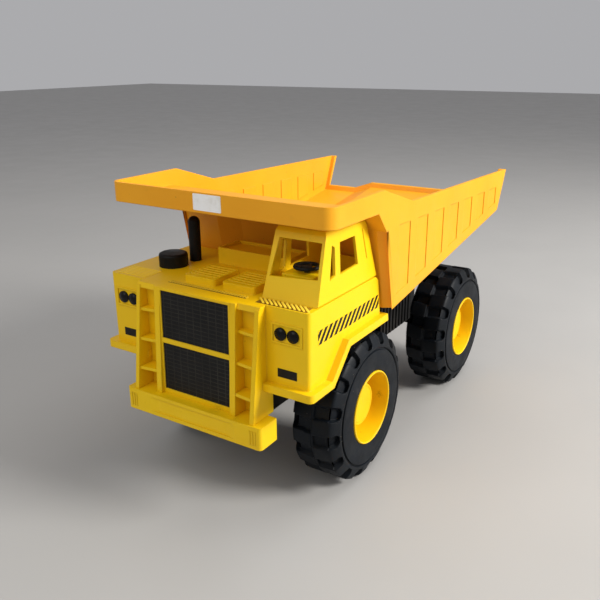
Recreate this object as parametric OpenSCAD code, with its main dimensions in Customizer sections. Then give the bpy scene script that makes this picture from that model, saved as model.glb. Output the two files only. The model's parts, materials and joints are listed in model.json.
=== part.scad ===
// Toy mining dump truck with a tipping bed and four free-rolling wheels.
// Frame: +X is the truck's left side (the cab side), -Y is its front, +Z is up.
// The origin is on the ground, under the middle of the truck.
// Inside the modules, y is counted from the front axle and z from the ground.

/* [Length] */
// Distance between the two axles
wheelbase = 210; // [207:1:213]
// From the front axle to the front of the bumper
front_overhang = 110; // [110:1:112]
// From the rear axle to the tail of the bed
rear_overhang = 71; // [70:1:73]

/* [Wheels] */
// Diameter over the tread
wheel_d = 122; // [118:1:124]
// Width across the outer faces of a pair of wheels
track_w = 194; // [192:1:196]
// Width of a tyre
tyre_w = 44; // [42:1:45]
// Diameter of the rim that carries the tyre
rim_d = 61; // [59:1:64]
// Diameter of the steel axle rods
axle_d = 5; // [4:0.5:6]

/* [Fenders and deck] */
// Width of the fender box
fender_w = 185; // [183:1:186]
// Height of the deck
deck_z = 169; // [168:0.5:170]
// Lower edge of the fenders at the front
skirt_z = 106; // [105:0.5:108]
// Lower edge of the fenders above the front wheels
arch_z = 130; // [129:0.5:132]
// How far the rim of the fenders stands out
skirt_lip = 5.4; // [4:0.2:6]
// Wall of the yellow mouldings
wall = 2.4; // [2:0.1:2.8]

/* [Grille and bumper] */
// Width of the grille housing with its two ladders
housing_w = 114; // [112:1:116]
// Width of the bumper
bumper_w = 129; // [126:1:132]
// Top of the bumper, where the grille housing stands
bumper_top_z = 84; // [83:0.5:85]

/* [Cab] */
// Height of the cab roof
roof_z = 218.5; // [217:0.5:219]
// Diameter of the steering wheel
steering_d = 20; // [18:1:21]

/* [Bed] */
// Width of the bed over the cab
bed_w = 202; // [200:1:203]
// Width of the bed at the tail
tail_w = 211; // [208:1:212]
// Height of the canopy rim
canopy_z = 238; // [236:0.5:240]
// Height of the rim of the bed at the tail
tail_z = 216; // [214:0.5:218]
// Wall of the bed
bed_wall = 2.8; // [2.4:0.1:3.2]

/* [Hidden] */
$fn = 64;

// Colours
lemon = [0.98, 0.87, 0.10];
golden = [1.00, 0.75, 0.18];
black = [0.07, 0.07, 0.08];
steel = [0.72, 0.73, 0.75];

// Lengthwise layout
length = front_overhang + wheelbase + rear_overhang;
front_axle_y = front_overhang - length / 2;
wheel_r = wheel_d / 2;
rim_r = rim_d / 2;
axle_r = axle_d / 2;
wheel_face = track_w / 2;
// Radial play of a turning part on its shaft
play = 0.05;
// Gap that keeps moving parts apart
gap = 0.4;

// Fenders, with the rear wall leaning back in front of the bed
fender_x = fender_w / 2;
fender_front = -90.3;
fender_rear_top = 10;
fender_rear_bottom = 17;
arch_front = -41.5;
arch_foot = -65;

// Grille housing
housing_x = housing_w / 2;
grille_x = 31.7;
grille_y = -98.9;
grille_lean = 1.7;
ladder_x = 38;
rail_w = 3.5;
rail_top_y = -98.2;
rail_foot_y = -108.3;
ladder_back = -91.5;
rung_heights = [148, 124.5, 101];

// Bumper
bumper_x = bumper_w / 2;
bumper_front = -front_overhang;
bumper_back = -90;
bumper_bottom_z = 66.3;

// Chassis spine
spine_x = 22;
spine_wall = 2.6;
belly_z = 52.5;
spine_top_z = 104;
body_screw_spots = [[13, -56], [-13, -56], [13, -16], [-13, -16]];

// Cab, standing on the left fender
cab_in_x = 46;
cab_screw_spots = [[51, -69], [86.6, -69], [51, -1], [86.6, -1]];
console_top_z = 186;
steering_spot = [70, -57];
steering_tilt = 2;

// Bed side outline, as [y, z]
bed_tail_y = wheelbase + rear_overhang;
canopy_front = -76;
canopy_under_z = canopy_z - 15.2;
bed_dip = [51, canopy_z - 16.3];
bed_floor_front = [19.5, 140];
bed_floor_rear = [bed_tail_y - 18.5, 176.2];
bed_front_top = [5, 206.5];
canopy_rear = [-8.5, canopy_under_z - 0.9];
floor_run = bed_floor_rear - bed_floor_front;
floor_rise = floor_run[1] / floor_run[0];
floor_angle = atan(floor_rise);
front_run = bed_front_top - bed_floor_front;
front_angle = atan(-front_run[0] / front_run[1]);
tunnel_foot_x = 62;
tunnel_top_x = 42;
tunnel_h = 6.5;
canopy_corner_r = 10;
panel_count = 7;
panel_pitch = 34.3;
panel_w = 20.5;
panel_depth = 0.6;

// Bed hinge
hinge = [wheelbase + 18, 160];
pin_r = 2.5;
lug_in_x = 24;
lug_out_x = 30;

function floor_z(y) = bed_floor_front[1] + floor_rise * (y - bed_floor_front[0]);
function rim_z(y) = bed_dip[1] + (tail_z - bed_dip[1]) * (y - bed_dip[0]) / (bed_tail_y - bed_dip[0]);

// Places children drawn from the front axle
module from_front_axle() translate([0, front_axle_y, 0]) children();
// Extrudes a [y, z] outline along X
module along_x(x0, x1) translate([x0, 0, 0]) rotate([90, 0, 90]) linear_extrude(x1 - x0) children();
// Extrudes an [x, z] outline along Y
module along_y(y0, y1) translate([0, y1, 0]) rotate([90, 0, 0]) linear_extrude(y1 - y0) children();
// Extrudes an [x, y] outline along Z
module along_z(z0, z1) translate([0, 0, z0]) linear_extrude(z1 - z0) children();
module both_sides() {
    children();
    mirror([1, 0, 0]) children();
}
// Round bar along X, centred on [y, z]
module bar_x(x0, x1, centre, r) along_x(x0, x1) translate(centre) circle(r);
// Rectangle with round corners, from its lowest corner
module rounded(size, r) {
    translate([r, 0]) square([size[0] - 2 * r, size[1]]);
    translate([0, r]) square([size[0], size[1] - 2 * r]);
    for (x = [r, size[0] - r], y = [r, size[1] - r]) translate([x, y]) circle(r);
}

// ---- Chassis ----

module spine_outline() {
    polygon([[-64, belly_z], [-88, belly_z + 14], [-88, spine_top_z], [24, spine_top_z], [33, 140], [38, 148.2],
        [hinge[0] - 15, 174], [hinge[0] - 7, 168], [hinge[0], 168], [hinge[0] + 8, 160],
        [hinge[0] + 22, 140], [hinge[0] + 24, 120], [hinge[0] + 24, belly_z]]);
    translate(hinge) circle(8);
}

module spine_hollow() {
    inner_x = spine_x - spine_wall;
    floor_top = belly_z + spine_wall;
    along_x(-inner_x, inner_x)
        polygon([[-62, floor_top], [-84, floor_top + 13], [-84, spine_top_z - spine_wall],
            [20, spine_top_z - spine_wall], [20, floor_top]]);
    along_x(-inner_x, inner_x)
        polygon([[28, floor_top], [28, 200], [hinge[0] - 20, 200], [hinge[0] - 20, floor_top]]);
}

module side_tank() {
    difference() {
        translate([40, 66, 91]) cube([30, 64, 35]);
        translate([42.5, 68.5, 90]) cube([25, 59, 33.5]);
    }
    translate([spine_x - 1, 82, 98]) cube([20, 32, 22]);
    for (i = [0:8]) translate([69, 70 + 6.6 * i, 92]) cube([2.2, 2.6, 33]);
}

module chassis() color(black) from_front_axle() difference() {
    union() {
        difference() {
            along_x(-spine_x, spine_x) spine_outline();
            spine_hollow();
        }
        both_sides() side_tank();
        for (y = [0, wheelbase]) bar_x(-56.1, 56.1, [y, wheel_r], 8);
        translate([-50, bumper_back, bumper_bottom_z])
            cube([100, 4, bumper_top_z - bumper_bottom_z]);
    }
    for (y = [0, wheelbase]) bar_x(-60, 60, [y, wheel_r], axle_r);
    bar_x(-30, 30, hinge, pin_r);
    for (spot = body_screw_spots) {
        translate([spot[0], spot[1], 95]) cylinder(r = 1.7, h = 12);
        translate([spot[0], spot[1], belly_z - 1]) cylinder(r = 4, h = 6);
    }
    for (x = [-35, 35]) translate([x, -84, 75]) rotate([90, 0, 0]) cylinder(r = 1.7, h = 8);
}

module body_screws() color(steel) from_front_axle()
    for (spot = body_screw_spots) translate([spot[0], spot[1], 0]) {
        translate([0, 0, spine_top_z - spine_wall - 2]) cylinder(r = 3, h = 2);
        translate([0, 0, spine_top_z - spine_wall]) cylinder(r = 1.3, h = 12);
    }

// ---- Axles and wheels ----

axle_end = wheel_face - 12.4;
nut_t = 1.2;

module axle(y) color(steel) from_front_axle() bar_x(-axle_end, axle_end, [y, wheel_r], axle_r);
module front_axle() axle(0);
module rear_axle() axle(wheelbase);

module axle_push_nuts() color(steel) from_front_axle() both_sides()
    for (y = [0, wheelbase]) difference() {
        bar_x(axle_end - 0.2 - nut_t, axle_end - 0.2, [y, wheel_r], 5);
        bar_x(axle_end - 3, axle_end + 1, [y, wheel_r], axle_r);
    }

// Turns a section drawn as [radius, distance in from the outer face] about a wheel's axis
module wheel_section(side, y) from_front_axle() mirror([side < 0 ? 1 : 0, 0, 0])
    translate([wheel_face, y, wheel_r]) rotate([0, -90, 0]) rotate_extrude($fn = 96) children();

module tyre(side, y) color(black) wheel_section(side, y) difference() {
    polygon([[rim_r, 0.4], [49, 0.4], [50, 1], [54, 1], [wheel_r - 3, 3.2], [wheel_r, 6.2],
        [wheel_r, tyre_w - 6.2], [wheel_r - 3, tyre_w - 3.2], [54, tyre_w - 1],
        [rim_r, tyre_w - 1]]);
    translate([rim_r - 1, 4]) square([wheel_r - rim_r - 5, tyre_w - 9]);
}

module rim(side, y) color(lemon) wheel_section(side, y)
    polygon([[axle_r + play, 14.2], [axle_r + play, 40.5], [6.5, 40.5], [6.5, 16.6],
        [15.2, 16.6], [16, 22.2], [rim_r - 2.2, 22.2], [rim_r - 2.2, 41], [rim_r, 41],
        [rim_r, 0.6], [rim_r - 0.4, 0], [rim_r - 1.2, 0], [rim_r - 1.6, 0.6],
        [rim_r - 2.6, 20], [18.4, 20], [17.6, 10.5], [17.2, 9.7], [15.6, 9.7], [15.6, 14.2]]);

module hub_cap(side, y) color(lemon) wheel_section(side, y)
    polygon([[0, 9.7], [0, 11.9], [13.8, 11.9], [13.8, 14.2], [15.6, 14.2], [15.6, 10.1], [15.2, 9.7]]);

// ---- Front body: fenders, deck, grille housing and ladders ----

// Corners of the fender box from its front foot over the deck to its rear foot, drawn in by t
function fender_top(t, foot_z) = [
    [fender_front + t, foot_z],
    [fender_front + t, deck_z - t],
    [fender_rear_top - 3 - t, deck_z - t],
    [fender_rear_top + 2 - t, deck_z - 4 - t / 2],
    [fender_rear_bottom - t, arch_z - t]];

module fender_box() intersection() {
    along_x(-fender_x, fender_x)
        polygon(concat(fender_top(0, skirt_z), [[arch_front, arch_z], [arch_foot, skirt_z]]));
    along_z(50, 200) translate([-fender_x, fender_front]) rounded([fender_w, 130], 3);
}

// Rim that runs round the lower edge of the fenders
module skirt() {
    lip_x = fender_x + skirt_lip;
    lip_front = fender_front - skirt_lip;
    band = 6;
    intersection() {
        union() {
            both_sides() along_x(fender_x - 1.5, lip_x) polygon([
                [lip_front, skirt_z],
                [lip_front, skirt_z + band],
                [arch_foot - 2.5, skirt_z + band],
                [arch_front - 2.5, arch_z + band],
                [fender_rear_bottom + 3, arch_z + band],
                [fender_rear_bottom + 4, arch_z],
                [arch_front, arch_z],
                [arch_foot, skirt_z]]);
            translate([-lip_x, lip_front, skirt_z]) cube([2 * lip_x, skirt_lip + 1.5, band]);
        }
        along_z(50, 200) translate([-lip_x, lip_front]) rounded([2 * lip_x, 150], 4);
    }
}

// Front edge of a leaning part at height z, given its y at deck height and at the foot
function lean_y(top_y, foot_y, z) = top_y + (foot_y - top_y) * (deck_z - z) / (deck_z - bumper_top_z);

module ladder() {
    along_x(housing_x - rail_w, housing_x) polygon([
        [rail_top_y, deck_z - 2], [rail_foot_y, bumper_top_z], [-83, bumper_top_z],
        [-83, skirt_z + 4], [-88, skirt_z + 4], [-88, deck_z - 2]]);
    along_x(grille_x + 1.3, ladder_x) polygon([
        [grille_y - 0.5, deck_z], [lean_y(grille_y, rail_foot_y, bumper_top_z) + 4, bumper_top_z],
        [-88, bumper_top_z], [-88, deck_z]]);
    translate([ladder_x - 1, ladder_back, bumper_top_z])
        cube([housing_x - ladder_x, wall, deck_z - bumper_top_z]);
    along_x(ladder_x - 1, housing_x) polygon([
        [rail_top_y, deck_z - 4], [rail_top_y + 1.5, deck_z], [-88, deck_z], [-88, deck_z - 8]]);
    for (z = rung_heights) along_z(z - 1.2, z + 1.2) polygon([
        [ladder_x - 1, ladder_back + 1], [housing_x - 1, ladder_back + 1],
        [housing_x - 1, lean_y(rail_top_y, rail_foot_y, z) + 1.2],
        [ladder_x - 1, lean_y(rail_top_y, rail_foot_y, z) + 3.5]]);
}

// Sloping slab in front of the grille, between two heights
module grille_slab(z0, z1, x, out, in) along_x(-x, x) polygon([
    [lean_y(grille_y, grille_y - grille_lean, z0) - out, z0],
    [lean_y(grille_y, grille_y - grille_lean, z1) - out, z1],
    [lean_y(grille_y, grille_y - grille_lean, z1) + in, z1],
    [lean_y(grille_y, grille_y - grille_lean, z0) + in, z0]]);

upper_grille = [129.4, 167];
lower_grille = [87.6, 125.6];
label_t = 0.2;

module grille_housing() {
    difference() {
        grille_slab(bumper_top_z, deck_z, grille_x + 2, 0.8, wall);
        grille_slab(upper_grille[0], upper_grille[1], grille_x, 3, 0);
        grille_slab(lower_grille[0], lower_grille[1], grille_x, 3, 0);
    }
    translate([-ladder_x, grille_y - 0.5, deck_z - 1.8]) cube([2 * ladder_x, 14, 1.8]);
    both_sides() ladder();
}

module hood_pads() {
    for (x = [-27, 9]) difference() {
        along_z(deck_z - 1, deck_z + 5.5) translate([x, -78]) rounded([29.5, 32], 3);
        for (i = [0:5]) translate([x + 2, -73.5 + 4.6 * i, deck_z + 4.9]) cube([25.5, 1.3, 2]);
    }
}

module deck_box() difference() {
    translate([-35, -26, deck_z - 1]) cube([70, 29, 14.5]);
    translate([-32.8, -23.8, deck_z + 10.8]) cube([65.6, 24.6, 5]);
}

module lamp_frame() difference() {
    along_y(fender_front - 0.9, fender_front + 1) translate([61.8, 143]) square([25.5, 15.2]);
    along_y(fender_front - 2, fender_front) translate([63.3, 144.5]) square([22.5, 12.2]);
}

lamp_spots = [[69.5, 150.5], [79.8, 150.5]];
cap_spot = [-62.5, -50];
stack_spot = [-57, -29];

module front_body() color(lemon) from_front_axle() difference() {
    union() {
        difference() {
            union() {
                fender_box();
                skirt();
            }
            along_x(wall - fender_x, fender_x - wall)
                polygon(concat(fender_top(wall, 60), [[fender_rear_bottom - wall, 60]]));
            translate([4 - housing_x, -100, 60]) cube([housing_w - 8, 16, 60]);
        }
        grille_housing();
        hood_pads();
        deck_box();
        both_sides() lamp_frame();
        translate([56, -68, deck_z - 1]) cube([26, 20, console_top_z - deck_z + 1]);
        for (spot = body_screw_spots)
            translate([spot[0], spot[1], spine_top_z]) cylinder(r = 4, h = deck_z - spine_top_z - 1);
    }
    for (spot = body_screw_spots) translate([spot[0], spot[1], 100]) cylinder(r = 1.3, h = 18);
    for (spot = cab_screw_spots) translate([spot[0], spot[1], deck_z - 5]) cylinder(r = 1.7, h = 8);
    for (side = [-1, 1], spot = lamp_spots)
        translate([side * spot[0], fender_front + 3, spot[1]]) rotate([90, 0, 0]) cylinder(r = 2, h = 6);
    for (spot = [cap_spot, stack_spot])
        translate([spot[0], spot[1], deck_z - 5]) cylinder(r = 3, h = 8);
    translate([steering_spot[0], steering_spot[1], console_top_z])
        rotate([-steering_tilt, 0, 0]) translate([0, 0, -12]) cylinder(r = 2 + play, h = 20);
}

// ---- Bumper ----

module bumper() color(lemon) from_front_axle() difference() {
    union() {
        difference() {
            along_z(bumper_bottom_z, bumper_top_z)
                translate([-bumper_x, bumper_front]) rounded([bumper_w, 30], 3);
            translate([wall - bumper_x, bumper_front + wall, bumper_bottom_z - 1])
                cube([bumper_w - 2 * wall, 30, bumper_top_z - bumper_bottom_z - wall + 1]);
        }
        for (x = [-35, 35]) translate([x, bumper_back, 75]) rotate([90, 0, 0]) cylinder(r = 4, h = 18);
        for (side = [-1, 1], i = [0:2])
            translate([side * (55 + 2.4 * i) - 0.5, bumper_front - 0.5, 69.5]) cube([1, 2, 11]);
    }
    translate([-100, bumper_back, 60]) cube([200, 20, 40]);
    along_z(69.3, 81) polygon([[-41, bumper_front - 1], [41, bumper_front - 1],
        [41, bumper_front], [33, bumper_front + 1.2], [-33, bumper_front + 1.2], [-41, bumper_front]]);
    for (x = [-35, 35]) translate([x, -85, 75]) rotate([90, 0, 0]) cylinder(r = 1.3, h = 15);
}

module bumper_screws() color(steel) from_front_axle()
    for (x = [-35, 35]) translate([x, bumper_back + 4, 75]) {
        rotate([90, 0, 0]) cylinder(r = 1.3, h = 13);
        rotate([-90, 0, 0]) cylinder(r = 3, h = 2);
    }

// ---- Cab ----

cab_foot_x = fender_x - 0.7;
cab_rake = [18.5, 46.5];
cab_side_lean = 4.6 / 46.5;

// y of the cab's front face and x of its outer side at height z
function cab_front(z) = -78.5 + cab_rake[0] / cab_rake[1] * (z - deck_z);
function cab_side(z) = cab_foot_x - cab_side_lean * (z - deck_z);
function cab_rear(z) = 9.6 - 0.25 * (z - deck_z);

module cab_form(t, foot) {
    top = roof_z - t;
    intersection() {
        along_x(cab_in_x + t, 100) polygon([
            [cab_front(foot) + t, foot], [cab_front(top - 4) + t, top - 4],
            [cab_front(top - 1.2) + t + 0.8, top - 1.2], [cab_front(top) + t + 3.5, top],
            [cab_rear(top) - t - 6, top], [cab_rear(top - 3) - t - 2.2, top - 3],
            [cab_rear(top - 7) - t, top - 7], [cab_rear(foot) - t, foot]]);
        along_y(-120, 60) polygon([
            [cab_in_x + t, foot], [cab_in_x + t, top - 4], [cab_in_x + t + 1.2, top - 1.2],
            [cab_in_x + t + 4, top], [cab_side(top) - t - 4, top],
            [cab_side(top) - t - 1.2, top - 1.2], [cab_side(top - 4) - t, top - 4],
            [cab_side(foot) - t, foot]]);
    }
}

module cab_shell() color(lemon) from_front_axle() {
    sill = 186.5;
    head = 207;
    difference() {
        cab_form(0, deck_z);
        difference() {
            cab_form(2.2, deck_z - 1);
            for (spot = cab_screw_spots) translate([spot[0], spot[1], deck_z - 2]) cylinder(r = 3.4, h = 12);
        }
        // windscreen
        along_y(-90, -45) polygon([[48.6, sill - 2.5], [87.4, sill], [85.4, 210], [50.6, 210]]);
        // side windows, the small front one and the main one
        along_x(40, 100) polygon([[-60, sill - 3], [-52, sill - 1], [-50, head - 2], [-53.5, head]]);
        along_x(40, 100) polygon([[-45, sill - 2], [-18.5, sill - 1], [-20.5, head], [-42.5, head]]);
        // open back
        along_y(-6, 30) polygon([[50, deck_z + 14], [cab_side(deck_z) - 5, deck_z + 14],
            [cab_side(210) - 5, 212], [50, 212]]);
        // groove behind the door
        intersection() {
            along_x(cab_in_x, 100) polygon([[-5, sill], [-3.9, sill], [-8.1, 210], [-9.2, 210]]);
            along_y(-20, 10) polygon([[cab_side(sill) - 1, sill], [100, sill], [100, 210],
                [cab_side(210) - 1, 210]]);
        }
        // shadow gap above the fender
        translate([cab_side(deck_z) - 1, -100, deck_z - 1]) cube([10, 130, 1.7]);
        for (spot = cab_screw_spots) translate([spot[0], spot[1], deck_z - 2]) cylinder(r = 1.3, h = 10.5);
    }
}

module cab_screws() color(steel) from_front_axle()
    for (spot = cab_screw_spots) translate([spot[0], spot[1], 0]) {
        translate([0, 0, deck_z - wall - 2]) cylinder(r = 3, h = 2);
        translate([0, 0, deck_z - wall]) cylinder(r = 1.3, h = 9);
    }

module steering_wheel() color(black) from_front_axle()
    translate([steering_spot[0], steering_spot[1], console_top_z]) rotate([-steering_tilt, 0, 0]) {
        ring_r = steering_d / 2 - 1.5;
        translate([0, 0, 4.2]) rotate_extrude() translate([ring_r, 0]) circle(1.5);
        translate([0, 0, -9]) cylinder(r = 2, h = 13);
        translate([0, 0, 2.4]) cylinder(r = 3.4, h = 2.4);
        for (a = [90, 210, 330]) rotate([0, 0, a]) translate([0, -1.1, 3]) cube([ring_r, 2.2, 1.8]);
    }

// ---- Deck fittings ----

module air_cleaner_cap() color(black) from_front_axle() translate([cap_spot[0], cap_spot[1], deck_z]) {
    rotate_extrude() polygon([[0, 0], [11.7, 0], [11.7, 9], [11.2, 10.2], [10, 10.8], [0, 11.4]]);
    translate([0, 0, -4]) cylinder(r = 3, h = 5);
}

module exhaust_stack() color(black) from_front_axle() translate([stack_spot[0], stack_spot[1], deck_z]) {
    cylinder(r = 4.9, h = 32.6);
    translate([0, 0, 32.6]) sphere(r = 4.9);
    translate([0, 0, -4]) cylinder(r = 3, h = 5);
}

module headlamps(side) color(black) from_front_axle()
    for (spot = lamp_spots) translate([side * spot[0], fender_front, spot[1]]) rotate([90, 0, 0]) {
        translate([0, 0, -4]) cylinder(r = 2, h = 5);
        cylinder(r = 4.7, h = 1.2);
        intersection() {
            translate([0, 0, -4]) sphere(r = 6.6);
            cylinder(r = 4, h = 4);
        }
    }
module headlamps_left() headlamps(1);
module headlamps_right() headlamps(-1);

// ---- Labels ----

module grille_label(heights) color(black) from_front_axle()
    grille_slab(heights[0] + 0.2, heights[1] - 0.2, grille_x - 0.2, label_t, 0);
module grille_label_upper() grille_label(upper_grille);
module grille_label_lower() grille_label(lower_grille);

module marker_label(side) color(black) from_front_axle()
    translate([side * 74.5 - 8, fender_front - label_t, 117.8]) cube([16, label_t, 6.5]);
module marker_label_left() marker_label(1);
module marker_label_right() marker_label(-1);

module hazard_label(side) color(lemon) from_front_axle() mirror([side < 0 ? 1 : 0, 0, 0])
    translate([fender_x, -79, 142.4]) cube([label_t, 92, 11.2]);
module hazard_label_left() hazard_label(1);
module hazard_label_right() hazard_label(-1);

module blank_label() color("white") from_front_axle()
    along_y(canopy_front - label_t, canopy_front) translate([-15.4, canopy_z - 13.2]) rounded([25.6, 12.2], 0.8);

// ---- Bed ----

// Plan of the bed drawn in by t, with round front corners
module bed_plan(t) {
    x0 = bed_w / 2 - t;
    x1 = tail_w / 2 - t;
    r = canopy_corner_r - t;
    y0 = canopy_front + t;
    polygon([[-x0, y0 + r], [r - x0, y0], [x0 - r, y0], [x0, y0 + r], [x0, 0],
        [x1, bed_tail_y], [x1, bed_tail_y + 40], [-x1, bed_tail_y + 40], [-x1, bed_tail_y], [-x0, 0]]);
    for (side = [-1, 1]) translate([side * (x0 - r), y0 + r]) circle(r);
}

module bed_outside() intersection() {
    along_x(-150, 150) polygon([[canopy_front, canopy_under_z], [canopy_front, canopy_z], [0, canopy_z],
        bed_dip, [bed_tail_y, tail_z], bed_floor_rear, bed_floor_front, bed_front_top, canopy_rear]);
    along_z(100, 300) bed_plan(0);
}

// Raised tunnel over the chassis, along the floor and up the front wall, drawn out by t
module tunnel(t) {
    foot_x = tunnel_foot_x + 0.3 * t;
    top_x = tunnel_top_x + 0.3 * t;
    section = [[-foot_x, -30], [-foot_x, t], [-top_x, tunnel_h + t], [top_x, tunnel_h + t],
        [foot_x, t], [foot_x, -30]];
    translate([0, bed_floor_front[0], bed_floor_front[1]]) {
        rotate([floor_angle, 0, 0]) along_y(t == 0 ? -10 : 0, 320) polygon(section);
        rotate([front_angle, 0, 0]) along_z(-6, 60 + t) polygon(section);
    }
}

module bed_inside(t) difference() {
    intersection() {
        along_x(-150, 150) polygon([[canopy_front + t, 300], [canopy_front + t, canopy_under_z + t],
            [canopy_rear[0] + 0.45 * t, canopy_rear[1] + t],
            [bed_front_top[0] + 1.02 * t, bed_front_top[1] + 0.32 * t],
            [bed_floor_front[0] + 0.85 * t, bed_floor_front[1] + 1.14 * t],
            [bed_tail_y + 40, floor_z(bed_tail_y + 40) + 1.01 * t], [bed_tail_y + 40, 300]]);
        along_z(100, 320) bed_plan(t);
    }
    tunnel(t);
}

// Upright panels pressed into the side walls, between two depths from the outer face
module wall_panels(depth0, depth1) both_sides() translate([bed_w / 2, 0, 0])
    rotate([0, 0, -atan((tail_w - bed_w) / 2 / bed_tail_y)])
        for (i = [0:panel_count - 1]) {
            y0 = 27 + panel_pitch * i;
            y1 = y0 + panel_w;
            along_x(-depth1, -depth0) polygon([[y0, floor_z(y0) + 10], [y1, floor_z(y1) + 10],
                [y1, rim_z(y1) - 15.5], [y0, rim_z(y0) - 15.5]]);
        }

// Slanted corner between the front wall and each side wall
module front_corner_cut() both_sides() translate([0, bed_front_top[0], bed_front_top[1]])
    rotate([front_angle, 0, 0]) along_z(-90, -1)
        polygon([[93, -0.01], [bed_w / 2 + 0.1, 3.8], [bed_w / 2 + 0.1, -0.01]]);

module bed_body() difference() {
    bed_outside();
    tunnel(0);
    difference() {
        bed_inside(bed_wall);
        wall_panels(0, bed_wall + panel_depth);
    }
    wall_panels(-1, panel_depth);
    front_corner_cut();
}

// Inward rim round the tail of the bed
module tail_rim() difference() {
    intersection() {
        bed_outside();
        along_x(-150, 150) polygon([[bed_tail_y - 2.6, tail_z + 5], [bed_tail_y + 5, tail_z + 5],
            [bed_floor_rear[0] + 5, 170], [bed_floor_rear[0] - 5.4, 170]]);
    }
    tunnel(0);
    bed_inside(bed_wall + 4.2);
}

module hinge_lug() along_x(lug_in_x, lug_out_x) {
    translate(hinge) circle(8);
    polygon([[hinge[0] - 8, hinge[1]], [hinge[0] + 8, hinge[1]],
        [hinge[0] + 16, floor_z(hinge[0] + 16) + tunnel_h + 1.2],
        [hinge[0] - 18, floor_z(hinge[0] - 18) + tunnel_h + 1.2]]);
}

module dump_bed() color(golden) from_front_axle() difference() {
    union() {
        bed_body();
        tail_rim();
        both_sides() hinge_lug();
    }
    bar_x(-40, 40, hinge, pin_r + play);
}

module bed_hinge_pin() color(steel) from_front_axle() bar_x(-33.4, 33.4, hinge, pin_r);

module bed_pin_clips() color(steel) from_front_axle() both_sides() difference() {
    bar_x(lug_out_x + gap, lug_out_x + gap + 1.8, hinge, 5);
    bar_x(lug_out_x, lug_out_x + 4, hinge, pin_r);
}

chassis();
front_body();
bumper();
cab_shell();
steering_wheel();
air_cleaner_cap();
exhaust_stack();
headlamps_left();
headlamps_right();
grille_label_upper();
grille_label_lower();
marker_label_left();
marker_label_right();
hazard_label_left();
hazard_label_right();
front_axle();
rear_axle();
axle_push_nuts();
dump_bed();
blank_label();
bed_hinge_pin();
bed_pin_clips();
body_screws();
cab_screws();
bumper_screws();
tyre(1, 0);  // tyre_front_left
tyre(-1, 0);  // tyre_front_right
tyre(1, wheelbase);  // tyre_rear_left
tyre(-1, wheelbase);  // tyre_rear_right
rim(1, 0);  // rim_front_left
rim(-1, 0);  // rim_front_right
rim(1, wheelbase);  // rim_rear_left
rim(-1, wheelbase);  // rim_rear_right
hub_cap(1, 0);  // hub_cap_front_left
hub_cap(-1, 0);  // hub_cap_front_right
hub_cap(1, wheelbase);  // hub_cap_rear_left
hub_cap(-1, wheelbase);  // hub_cap_rear_right
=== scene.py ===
"""Looks of the toy mining dump truck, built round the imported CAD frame. Lengths are in metres."""

import json
import math

import bmesh
import bpy
from mathutils import Matrix, Vector


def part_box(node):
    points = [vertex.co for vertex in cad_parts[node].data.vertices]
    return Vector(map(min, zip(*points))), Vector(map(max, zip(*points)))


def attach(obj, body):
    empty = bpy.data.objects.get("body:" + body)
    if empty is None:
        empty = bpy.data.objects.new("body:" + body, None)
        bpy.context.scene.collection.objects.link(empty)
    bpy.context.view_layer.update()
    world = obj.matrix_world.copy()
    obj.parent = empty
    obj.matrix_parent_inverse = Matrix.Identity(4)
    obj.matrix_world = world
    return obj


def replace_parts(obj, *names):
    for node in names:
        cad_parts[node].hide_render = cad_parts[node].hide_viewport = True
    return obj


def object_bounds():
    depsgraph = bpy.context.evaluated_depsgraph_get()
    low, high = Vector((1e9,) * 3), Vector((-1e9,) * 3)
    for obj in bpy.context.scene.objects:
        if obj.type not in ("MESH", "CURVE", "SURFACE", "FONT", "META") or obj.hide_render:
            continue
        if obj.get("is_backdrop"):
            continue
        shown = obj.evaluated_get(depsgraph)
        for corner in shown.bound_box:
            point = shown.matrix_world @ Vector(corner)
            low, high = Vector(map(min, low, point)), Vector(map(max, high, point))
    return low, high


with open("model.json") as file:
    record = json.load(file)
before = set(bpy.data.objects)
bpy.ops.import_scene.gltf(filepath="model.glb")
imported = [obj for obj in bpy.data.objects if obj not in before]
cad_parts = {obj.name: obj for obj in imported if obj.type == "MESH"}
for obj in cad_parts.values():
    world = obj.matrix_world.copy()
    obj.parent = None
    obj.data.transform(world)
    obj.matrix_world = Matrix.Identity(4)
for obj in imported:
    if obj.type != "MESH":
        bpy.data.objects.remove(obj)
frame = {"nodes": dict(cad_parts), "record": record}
cad_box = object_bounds()
nodes = frame["nodes"]
MM = 0.001

# ---------------------------------------------------------------- material nodes


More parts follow.
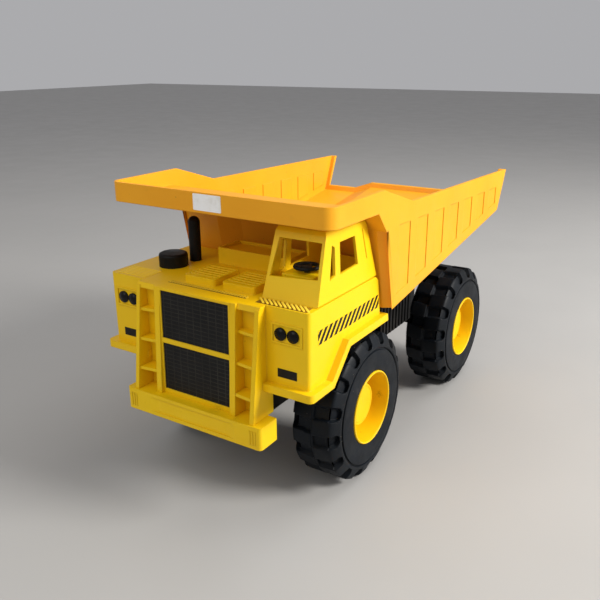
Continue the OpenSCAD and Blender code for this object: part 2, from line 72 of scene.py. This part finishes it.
class Nodes:
    """A material's node tree, with short calls for the nodes used here."""

    def __init__(self, name):
        self.material = bpy.data.materials.new(name)
        self.material.use_nodes = True
        self.tree = self.material.node_tree
        self.shader = self.tree.nodes["Principled BSDF"]
        self.place = self.add("ShaderNodeTexCoord").outputs["Object"]

    def add(self, kind, **settings):
        node = self.tree.nodes.new(kind)
        for key, value in settings.items():
            setattr(node, key, value)
        return node

    def join(self, source, socket):
        if isinstance(source, (int, float, tuple, list)):
            socket.default_value = source
        else:
            self.tree.links.new(source, socket)

    def set(self, name, value):
        self.join(value, self.shader.inputs[name])

    def math(self, how, a, b=0.0):
        node = self.add("ShaderNodeMath", operation=how)
        for value, socket in zip((a, b), node.inputs):
            self.join(value, socket)
        return node.outputs[0]

    def mapped(self, scale=(1, 1, 1), turn=(0, 0, 0)):
        node = self.add("ShaderNodeMapping")
        node.inputs["Scale"].default_value = scale
        node.inputs["Rotation"].default_value = turn
        self.join(self.place, node.inputs["Vector"])
        return node.outputs[0]

    def noise(self, scale, detail=3.0, rough=0.55, where=None, distort=0.0):
        node = self.add("ShaderNodeTexNoise")
        self.join(where or self.place, node.inputs["Vector"])
        node.inputs["Scale"].default_value = scale
        node.inputs["Detail"].default_value = detail
        node.inputs["Roughness"].default_value = rough
        node.inputs["Distortion"].default_value = distort
        return node.outputs["Fac"]

    def step(self, value, low, high, to_low=0.0, to_high=1.0):
        """A smooth ramp: to_low up to the low value, to_high from the high value on."""
        node = self.add("ShaderNodeMapRange", interpolation_type="SMOOTHSTEP", clamp=True)
        self.join(value, node.inputs["Value"])
        node.inputs["From Min"].default_value = low
        node.inputs["From Max"].default_value = high
        node.inputs["To Min"].default_value = to_low
        node.inputs["To Max"].default_value = to_high
        return node.outputs["Result"]

    def patches(self, value, low, high, weight):
        """Patches where the value is over low, full at high and then as strong as the weight."""
        return self.math("MULTIPLY", self.step(value, low, high), weight)

    def mix(self, factor, a, b):
        """The colour a turning to b as the factor goes from 0 to 1."""
        node = self.add("ShaderNodeMix", data_type="RGBA")
        # 0 is the factor, 6 and 7 are the colour pair; the others serve other data types
        for value, socket in ((factor, 0), (a, 6), (b, 7)):
            self.join(value, node.inputs[socket])
        return node.outputs[2]

    def bump(self, height, strength, distance=0.0004, onto=None):
        node = self.add("ShaderNodeBump")
        node.inputs["Strength"].default_value = strength
        node.inputs["Distance"].default_value = distance
        self.join(height, node.inputs["Height"])
        if onto is not None:
            self.join(onto, node.inputs["Normal"])
        return node.outputs["Normal"]

    def soft_edges(self, radius):
        node = self.add("ShaderNodeBevel", samples=4)
        node.inputs["Radius"].default_value = radius
        return node.outputs["Normal"]

    def xyz(self):
        node = self.add("ShaderNodeSeparateXYZ")
        self.join(self.place, node.inputs[0])
        return node.outputs


def srgb(r, g, b):
    """A colour given as 0-255 screen values, in linear light."""

    def one(v):
        v /= 255
        return v / 12.92 if v <= 0.04045 else ((v + 0.055) / 1.055) ** 2.4

    return (one(r), one(g), one(b), 1.0)


LEMON = srgb(240, 199, 10)


def dusty(n, colour, dust, weight):
    """Dust that gathers in patches, thicker on faces that look up."""
    patches = n.step(n.noise(60, 5, 0.6), 0.48, 0.78)
    normal = n.add("ShaderNodeSeparateXYZ")
    n.join(n.add("ShaderNodeNewGeometry").outputs["Normal"], normal.inputs[0])
    facing_up = n.step(normal.outputs[2], -0.2, 1.0, 0.25, 1.0)
    dusted = n.math("MULTIPLY", n.math("MULTIPLY", patches, facing_up), weight)
    return n.mix(dusted, colour, dust)


def dark_mark(n, colour, spot, size, weight):
    """A smudge round a spot, broken up so that it has no clear edge."""
    away = n.add("ShaderNodeVectorMath", operation="DISTANCE")
    n.join(n.place, away.inputs[0])
    away.inputs[1].default_value = spot
    ragged = n.math("MULTIPLY", n.noise(260, 4, 0.7), 1.6 * size)
    distance = n.math("ADD", away.outputs["Value"], ragged)
    near = n.step(distance, 0.9 * size, 1.9 * size, 1.0, 0.0)
    broken = n.math("MULTIPLY", near, n.step(n.noise(700, 4, 0.7), 0.38, 0.62))
    return n.mix(n.math("MULTIPLY", broken, weight), colour, srgb(58, 44, 24))


def yellow_plastic(name, tone, deep, edge=0.0009, rough=0.42, marks=()):
    """Moulded yellow plastic: faint clouding, grime in patches, fine scratches, dark flecks, soft
    edges and the odd dark mark, given as (place, size, weight)."""
    n = Nodes(name)
    cloud = n.noise(9, 4, 0.6)
    colour = n.mix(n.step(cloud, 0.35, 0.75), tone, deep)
    grime = n.patches(n.noise(34, 6, 0.68, distort=0.4), 0.60, 0.80, 0.22)
    colour = n.mix(grime, colour, srgb(140, 104, 40))
    long = n.noise(1.0, 5, 0.7, n.mapped((240, 30, 260), (0.3, 0.2, 0.5)))
    other = n.noise(1.0, 5, 0.7, n.mapped((28, 250, 300), (0.1, -0.4, 0.2)))
    scratch = n.math("MAXIMUM", n.step(long, 0.69, 0.74), n.step(other, 0.70, 0.75))
    colour = n.mix(n.math("MULTIPLY", scratch, 0.30), colour, srgb(196, 150, 60))
    flecks = n.patches(n.noise(420, 2, 0.5), 0.74, 0.80, 0.5)
    colour = n.mix(flecks, colour, srgb(92, 70, 30))
    for spot, size, weight in marks:
        colour = dark_mark(n, colour, spot, size, weight)
    n.set("Base Color", colour)
    n.set("Roughness", n.step(n.noise(22, 5, 0.6), 0.3, 0.75, rough - 0.07, rough + 0.14))
    n.set("Specular IOR Level", 0.28)
    grain = n.math("ADD", n.math("MULTIPLY", n.noise(1500, 2, 0.5), 0.25), n.noise(60, 3, 0.5))
    n.set("Normal", n.bump(grain, 0.10, 0.0005, n.soft_edges(edge)))
    return n.material


def black_plastic(name, tone, rough=0.5, dust=0.25, edge=0.0007):
    """Moulded black plastic with paler patches of painted sheen, and dust."""
    n = Nodes(name)
    # the paler tone is a painted sheen, laid on in noise patches
    painted_sheen = tuple(min(1, c * 1.9 + 0.004) for c in tone[:3]) + (1,)
    colour = n.mix(n.step(n.noise(30, 4, 0.6), 0.3, 0.8), tone, painted_sheen)
    colour = dusty(n, colour, srgb(150, 140, 122), dust)
    n.set("Base Color", colour)
    n.set("Roughness", n.step(n.noise(45, 4, 0.6), 0.3, 0.75, rough - 0.1, rough + 0.15))
    n.set("Specular IOR Level", 0.16)
    n.set("Normal", n.bump(n.noise(900, 3, 0.6), 0.12, 0.0003, n.soft_edges(edge)))
    return n.material


def tyre_plastic():
    """Blow-moulded black tyre: satin, rubbed grey in patches, with pale specks of dirt."""
    n = Nodes("tyre_black")
    base = n.mix(n.step(n.noise(26, 5, 0.6), 0.3, 0.8), srgb(7, 11, 16), srgb(14, 21, 29))
    worn = n.patches(n.noise(140, 5, 0.65), 0.58, 0.82, 0.16)
    colour = n.mix(worn, base, srgb(92, 90, 86))
    specks = n.patches(n.noise(330, 2, 0.5), 0.74, 0.80, 0.5)
    n.set("Base Color", n.mix(specks, colour, srgb(150, 142, 126)))
    n.set("Roughness", n.step(n.noise(60, 4, 0.6), 0.3, 0.75, 0.46, 0.64))
    n.set("Specular IOR Level", 0.18)
    n.set("Normal", n.bump(n.noise(700, 3, 0.6), 0.14, 0.0004, n.soft_edges(0.0006)))
    return n.material


def plated_steel():
    """Zinc-plated steel with fine turning marks."""
    n = Nodes("zinc_steel")
    spin = n.noise(1.0, 4, 0.6, n.mapped((40, 900, 900)))
    n.set("Base Color", n.mix(n.step(spin, 0.3, 0.7), (0.50, 0.50, 0.51, 1), (0.66, 0.66, 0.65, 1)))
    n.set("Metallic", 1.0)
    n.set("Roughness", n.step(n.noise(90, 4, 0.6), 0.3, 0.7, 0.25, 0.42))
    n.set("Normal", n.bump(spin, 0.1, 0.0002, n.soft_edges(0.0003)))
    return n.material


def repeat(n, value, period, width):
    """1 on a line of the given width once every period."""
    phase = n.math("FRACT", n.math("DIVIDE", value, period))
    return n.math("LESS_THAN", phase, width / period)


def grille_film():
    """Black printed film with a fine grid of louvres, rubbed grey in places."""
    n = Nodes("grille_film")
    row_pitch = 3.15 * MM
    column_pitch = 7.05 * MM
    shift = 0.1  # sets where on the label the first column line falls
    x, _, z = n.xyz()
    rows = repeat(n, z, row_pitch, 0.55 * MM)
    columns = repeat(n, n.math("ADD", x, shift), column_pitch, 0.7 * MM)
    lines = n.math("MAXIMUM", rows, columns)
    faded = n.step(n.noise(40, 5, 0.65), 0.3, 0.8, 0.25, 0.9)
    colour = n.mix(n.math("MULTIPLY", lines, faded), srgb(9, 9, 10), srgb(52, 49, 42))
    rubbed = n.patches(n.noise(150, 5, 0.7), 0.62, 0.80, 0.35)
    n.set("Base Color", n.mix(rubbed, colour, srgb(92, 80, 52)))
    n.set("Roughness", n.step(n.noise(60, 3, 0.6), 0.3, 0.7, 0.40, 0.58))
    n.set("Specular IOR Level", 0.25)
    n.set("Normal", n.bump(lines, 0.35, 0.0003))
    return n.material


def marker_film():
    """Plain black film, rubbed through in small patches."""
    n = Nodes("marker_film")
    worn = n.patches(n.noise(260, 4, 0.7), 0.60, 0.74, 0.45)
    n.set("Base Color", n.mix(worn, srgb(12, 11, 12), srgb(96, 80, 44)))
    n.set("Specular IOR Level", 0.25)
    n.set("Roughness", n.step(n.noise(90, 3, 0.6), 0.3, 0.7, 0.35, 0.55))
    n.set("Normal", n.bump(n.noise(500, 2, 0.5), 0.1, 0.0002))
    return n.material


def hazard_film():
    """Yellow film with slanted black bars, chipped along their edges."""
    n = Nodes("hazard_film")
    _, y, z = n.xyz()
    low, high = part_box("hazard_label_left")
    bar_count = 13
    bar_share = 0.60
    slant = 0.85
    margin = 0.3 * MM
    period = (high.y - low.y) / bar_count
    run = n.math("SUBTRACT", y, n.math("MULTIPLY", n.math("SUBTRACT", z, low.z), slant))
    phase = n.math("DIVIDE", n.math("SUBTRACT", run, low.y), period)
    ragged = n.math("MULTIPLY", n.math("SUBTRACT", n.noise(520, 3, 0.6), 0.5), 0.07)
    bars = n.math("LESS_THAN", n.math("ADD", n.math("FRACT", phase), ragged), bar_share)
    over = n.math("GREATER_THAN", z, low.z + margin)
    under = n.math("LESS_THAN", z, high.z - margin)
    inside = n.math("MULTIPLY", over, under)
    chips = n.math("GREATER_THAN", n.noise(330, 3, 0.6), 0.22)
    dark = n.math("MULTIPLY", n.math("MULTIPLY", bars, inside), chips)
    n.set("Base Color", n.mix(dark, LEMON, srgb(10, 10, 11)))
    n.set("Roughness", n.step(n.noise(60, 3, 0.6), 0.3, 0.7, 0.40, 0.55))
    n.set("Specular IOR Level", 0.2)
    n.set("Normal", n.bump(dark, 0.1, 0.0002))
    return n.material


def white_paper():
    """Blank white paper, a little stained."""
    n = Nodes("label_paper")
    stain = n.step(n.noise(120, 4, 0.6), 0.4, 0.8)
    n.set("Base Color", n.mix(stain, srgb(246, 246, 246), srgb(226, 224, 218)))
    n.set("Roughness", n.step(n.noise(200, 3, 0.6), 0.3, 0.7, 0.6, 0.75))
    n.set("Normal", n.bump(n.noise(1200, 2, 0.5), 0.1, 0.0001))
    return n.material


WHEEL_R = 61 * MM
axle_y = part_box("tyre_front_left")[0].y + WHEEL_R


def mark(x, y, z, size, weight):
    """A dark mark, placed in millimetres from the middle, the front axle and the ground."""
    return ((x * MM, axle_y + y * MM, z * MM), size * MM, weight)


marks_body = (
    mark(89, 28, 59, 4, 0.45),
    mark(85, 230, 41, 3, 0.60),
    mark(20, -103, 84, 7, 0.22),
    mark(40, -106, 84, 5, 0.25),
)
marks_bed = (
    mark(90, -66, 238, 5, 0.75),
    mark(84, -70, 238, 4, 0.6),
    mark(95, -70, 237, 4, 0.6),
)
mat_body = yellow_plastic("body_yellow", LEMON, srgb(234, 188, 6), marks=marks_body)
mat_bed = yellow_plastic("bed_golden", srgb(240, 168, 30), srgb(234, 159, 24), 0.0011, 0.46, marks_bed)
# The tread bars get a paler yellow, a painted highlight on their tops; the pads under them get a
# darker yellow, painted shade between the bars.
mat_tread_highlight = yellow_plastic("tread_highlight_yellow", srgb(246, 216, 70), srgb(238, 200, 40), 0.0001)
mat_tread_shade = yellow_plastic("tread_painted_shade", srgb(150, 112, 22), srgb(112, 80, 16), 0.0001, 0.6)
mat_black = black_plastic("black_plastic", srgb(9, 9, 9), 0.48, 0.08)
mat_tyre = tyre_plastic()
slot_material = {
    "body_yellow": mat_body,
    "bed_yellow": mat_bed,
    "black_plastic": mat_black,
    "lamp_black": black_plastic("lamp_black", srgb(10, 10, 12), 0.22, 0.04, 0.0004),
    "label_black": marker_film(),
    "label_hazard": hazard_film(),
    "label_white": white_paper(),
    "steel": plated_steel(),
    "tyre": mat_tyre,
}
mat_grille = grille_film()

slots = {s["node"]: s["material_slot"] for s in frame["record"]["subparts"]}
for name, node in nodes.items():
    material = mat_grille if name.startswith("grille_label") else slot_material[slots[name]]
    node.data.materials.clear()
    node.data.materials.append(material)

# ---------------------------------------------------------------- mesh pieces


def piece(name, bm, material, body, smooth_angle):
    """A finished mesh piece that rides on a body, shaded smooth up to the angle in degrees."""
    bmesh.ops.recalc_face_normals(bm, faces=bm.faces)
    mesh = bpy.data.meshes.new(name)
    bm.to_mesh(mesh)
    bm.free()
    mesh.materials.append(material)
    mesh.shade_smooth()
    mesh.set_sharp_from_angle(angle=math.radians(smooth_angle))
    obj = bpy.data.objects.new(name, mesh)
    bpy.context.scene.collection.objects.link(obj)
    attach(obj, body)
    return obj


# Lugged tyres. Their lengths are in millimetres, and a share is a part of one lug pitch.
LUGS = 16
STEPS = 30  # mesh columns to each lug
GAP_HALF = 0.21  # share taken by half the gap between two lugs
GAP_LEAN = 0.10  # share by which a gap leans from the parting line to the face
GAP_DEPTH = 3.4
POCKET_FOOT = 52.4  # radius at which the pockets in the shoulder begin
POCKET_RISE = 4.0  # height over which they widen
POCKET_DEPTH = 3.2
POCKET_INSET = 2.4
TURNED = {"front_left": -4, "front_right": 9, "rear_left": 5, "rear_right": 2}  # degrees


def smooth(a, b, v):
    """0 up to a, 1 from b on, with a smooth rise between."""
    t = min(1.0, max(0.0, (v - a) / (b - a)))
    return t * t * (3 - 2 * t)


def groove(u, half, soft=0.03):
    """Depth share of a cut centred on u = 0.5, with steep walls."""
    away = abs((u % 1.0) - 0.5)
    return 1.0 - smooth(half - soft, half + soft, away)


def cut_tyre(kind, r, x, u, half):
    """A point of the tyre's section, after the gap or pocket at u lug pitches round is cut."""
    leaning = u + GAP_LEAN * (abs(x) / half)
    if kind == "tread":
        r -= GAP_DEPTH * groove(leaning, GAP_HALF) * smooth(0.2, 1.6, abs(x))
    elif kind == "shoulder" and r > POCKET_FOOT:
        reach = min(1.0, (r - POCKET_FOOT) / POCKET_RISE)
        pocket_half = GAP_HALF * math.sqrt(1 - (1 - reach) ** 2) + 0.015
        cut = groove(leaning, pocket_half)
        r -= POCKET_DEPTH * cut
        x -= math.copysign(POCKET_INSET * cut, x)
    return r, x


def tyre_mesh(r_out, r_rim, width):
    """Each half has a smooth side with a ring groove, a steep shoulder with D-shaped pockets and
    a row of lugs. The two rows are staggered, with a parting line between. The axis is X."""
    half = width / 2
    # points of one half from the rim to the parting line, as (radius, depth behind the face)
    side = [
        (r_rim - 0.3, 7.0), (r_rim - 0.1, 1.2), (r_rim + 0.9, 0.35), (r_rim + 3, 0.1),
        (38, 0.1), (44, 0.2), (46.8, 0.3), (47.6, 0.5), (48.0, 1.9), (49.0, 2.1), (49.5, 0.9),
        (50.2, 0.6), (51.2, 0.7),
    ]
    shoulder = [
        (52.0, 0.9), (53.0, 1.25), (54.0, 1.6), (55.0, 2.0), (56.0, 2.4), (57.0, 2.85),
        (58.0, 3.35), (59.0, 3.9), (59.9, 4.5), (60.6, 5.2), (r_out - 0.04, 6.0),
    ]
    tread = [
        (r_out, 7.2), (r_out, 10.5), (r_out, 15.0), (r_out, half - 1.4),
        (r_out - 0.1, half - 0.8), (r_out - 0.9, half - 0.45),
    ]
    outer = [("side", r, half - depth) for r, depth in side]
    outer += [("shoulder", r, half - depth) for r, depth in shoulder]
    outer += [("tread", r, half - depth) for r, depth in tread]
    inner = [(kind, r, -x) for kind, r, x in reversed(outer)]
    columns = LUGS * STEPS
    bm = bmesh.new()
    grid = []
    for kind, r, x in outer + inner:
        ring = []
        phase = 0.0 if x > 0 else 0.5
        for c in range(columns):
            radius, across = cut_tyre(kind, r, x, c / STEPS + phase, half)
            radius *= MM
            angle = 2 * math.pi * c / columns
            at = (across * MM, radius * math.cos(angle), radius * math.sin(angle))
            ring.append(bm.verts.new(at))
        grid.append(ring)
    for a, b in zip(grid, grid[1:] + grid[:1]):
        for c in range(columns):
            d = (c + 1) % columns
            bm.faces.new((a[c], a[d], b[d], b[c]))
    return bm


for corner, degrees in TURNED.items():
    node = f"tyre_{corner}"
    low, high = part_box(node)
    middle = (low + high) / 2
    r_out = (high.z - low.z) / 2 / MM - 0.02
    r_rim = (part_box(f"rim_{corner}")[1].z - middle.z) / MM
    bm = tyre_mesh(r_out, r_rim, (high.x - low.x) / MM)
    turn = Matrix.Rotation(math.radians(degrees), 4, "X")
    if middle.x < 0:
        turn = Matrix.Rotation(math.pi, 4, "Z") @ turn
    bmesh.ops.transform(bm, matrix=Matrix.Translation(middle) @ turn, verts=bm.verts)
    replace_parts(piece(f"lugged_{node}", bm, mat_tyre, f"wheel_{corner}", 30), node)


def bar(bm, centre, size, round_by, turn=None):
    """Adds a box with rounded edges to bm."""
    made = bmesh.ops.create_cube(bm, size=1.0)["verts"]
    bmesh.ops.scale(bm, vec=Vector(size), verts=made)
    edges = list({e for v in made for e in v.link_edges})
    rounded = bmesh.ops.bevel(
        bm, geom=edges, offset=round_by, segments=2, affect="EDGES", profile=0.6
    )
    made = list({v for f in rounded["faces"] for v in f.verts})
    move = Matrix.Translation(Vector(centre)) @ (turn or Matrix.Identity(4))
    bmesh.ops.transform(bm, matrix=move, verts=made)


def deck_treads():
    """Slanted anti-slip bars in front of the cab, ticks ahead of the deck pads and ribs by the
    air cleaner, in a paler yellow that is a painted highlight. Darker pads lie under the bars
    and the ticks: painted shade between them."""
    cab_low, cab_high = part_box("cab_shell")
    deck = cab_low.z
    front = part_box("headlamps_left")[1].y - 4 * MM
    bars_x = (cab_low.x + cab_high.x) / 2 - 1 * MM
    bars_y = front + 6.3 * MM
    ticks_y = front + 5.9 * MM
    pad_z = deck + 0.05 * MM
    # A darker pad under the bars and ticks: painted shade between them.
    pad = bmesh.new()
    bar(pad, (bars_x, bars_y, pad_z), (41 * MM, 9.6 * MM, 0.24 * MM), 0.05 * MM)
    bar(pad, (1 * MM, ticks_y, pad_z), (73 * MM, 4.2 * MM, 0.2 * MM), 0.05 * MM)
    piece("deck_tread_shade_pad", pad, mat_tread_shade, "truck", 40)
    bm = bmesh.new()
    slanted = Matrix.Rotation(math.radians(46), 4, "Z")
    bar_edge = 0.2 * MM
    bar_pitch = 3.7 * MM
    tick_pitch = 2.45 * MM
    for i in range(11):
        x = cab_low.x + 3.6 * MM + i * bar_pitch
        size = (1.5 * MM, 11.5 * MM, 1.0 * MM)
        bar(bm, (x, bars_y, deck + 0.4 * MM), size, bar_edge, slanted)
    for i in range(30):
        x = -34 * MM + i * tick_pitch
        bar(bm, (x, ticks_y, deck + 0.3 * MM), (1.2 * MM, 3.2 * MM, 0.9 * MM), bar_edge)
    for i in range(7):
        y = front + (4 + 2.8 * i) * MM
        bar(bm, (-73 * MM, y, deck + 0.15 * MM), (30 * MM, 1.0 * MM, 0.7 * MM), bar_edge)
    piece("deck_tread_bars", bm, mat_tread_highlight, "truck", 40)


deck_treads()

# ---------------------------------------------------------------- floor, light and camera


def floor():
    """A plain pale floor, much wider than the view."""
    half_side = 6
    bm = bmesh.new()
    bmesh.ops.create_grid(bm, x_segments=8, y_segments=8, size=half_side)
    mesh = bpy.data.meshes.new("floor")
    bm.to_mesh(mesh)
    bm.free()
    n = Nodes("floor_pale")
    n.set("Base Color", n.mix(n.noise(3, 4, 0.5), (0.38, 0.375, 0.365, 1), (0.42, 0.41, 0.40, 1)))
    n.set("Roughness", n.step(n.noise(12, 3, 0.5), 0.3, 0.7, 0.55, 0.7))
    mesh.materials.append(n.material)
    obj = bpy.data.objects.new("floor", mesh)
    bpy.context.scene.collection.objects.link(obj)
    obj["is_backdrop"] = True


floor()

world = bpy.data.worlds.new("pale_room")
world.use_nodes = True
background = world.node_tree.nodes["Background"]
background.inputs["Color"].default_value = (0.97, 0.97, 1.0, 1)
background.inputs["Strength"].default_value = 0.42
bpy.context.scene.world = world


def area_light(name, at, target, size, power, colour):
    """A round lamp, turned to its target."""
    data = bpy.data.lights.new(name, "AREA")
    data.shape = "DISK"
    data.size = size
    data.energy = power
    data.color = colour
    obj = bpy.data.objects.new(name, data)
    obj.location = at
    obj.rotation_euler = (Vector(target) - Vector(at)).to_track_quat("-Z", "Y").to_euler()
    bpy.context.scene.collection.objects.link(obj)


area_light("key", (1.45, 0.35, 0.95), (0, 0, 0.12), size=0.6, power=37, colour=(1.0, 0.98, 0.94))
area_light("front", (-0.3, -1.4, 1.3), (0, 0, 0.12), size=1.4, power=9.5, colour=(1.0, 0.98, 0.92))
area_light("top", (0.5, 0.6, 1.8), (0, 0, 0.1), size=1.2, power=9, colour=(1.0, 0.99, 0.97))

camera = bpy.data.cameras.new("camera")
camera.sensor_width = 36
camera.lens = 41.99
camera.clip_start = 0.01
eye_place = (0.3198, -0.5431, 0.3313)
yaw = math.radians(32.56)
pitch_down = math.radians(19.38)
roll = math.radians(-0.30)
eye = bpy.data.objects.new("camera", camera)
eye.matrix_world = (
    Matrix.Translation(eye_place)
    @ Matrix.Rotation(yaw, 4, "Z")
    @ Matrix.Rotation(math.pi / 2 - pitch_down, 4, "X")
    @ Matrix.Rotation(roll, 4, "Z")
)
bpy.context.scene.collection.objects.link(eye)
bpy.context.scene.camera = eye

scene = bpy.context.scene
scene.view_settings.view_transform = "Standard"


def plain(value):
    if isinstance(value, (list, tuple, Vector)):
        return [plain(v) for v in value]
    return float(value)


{"cad": plain(cad_box), "visual": plain(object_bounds())}
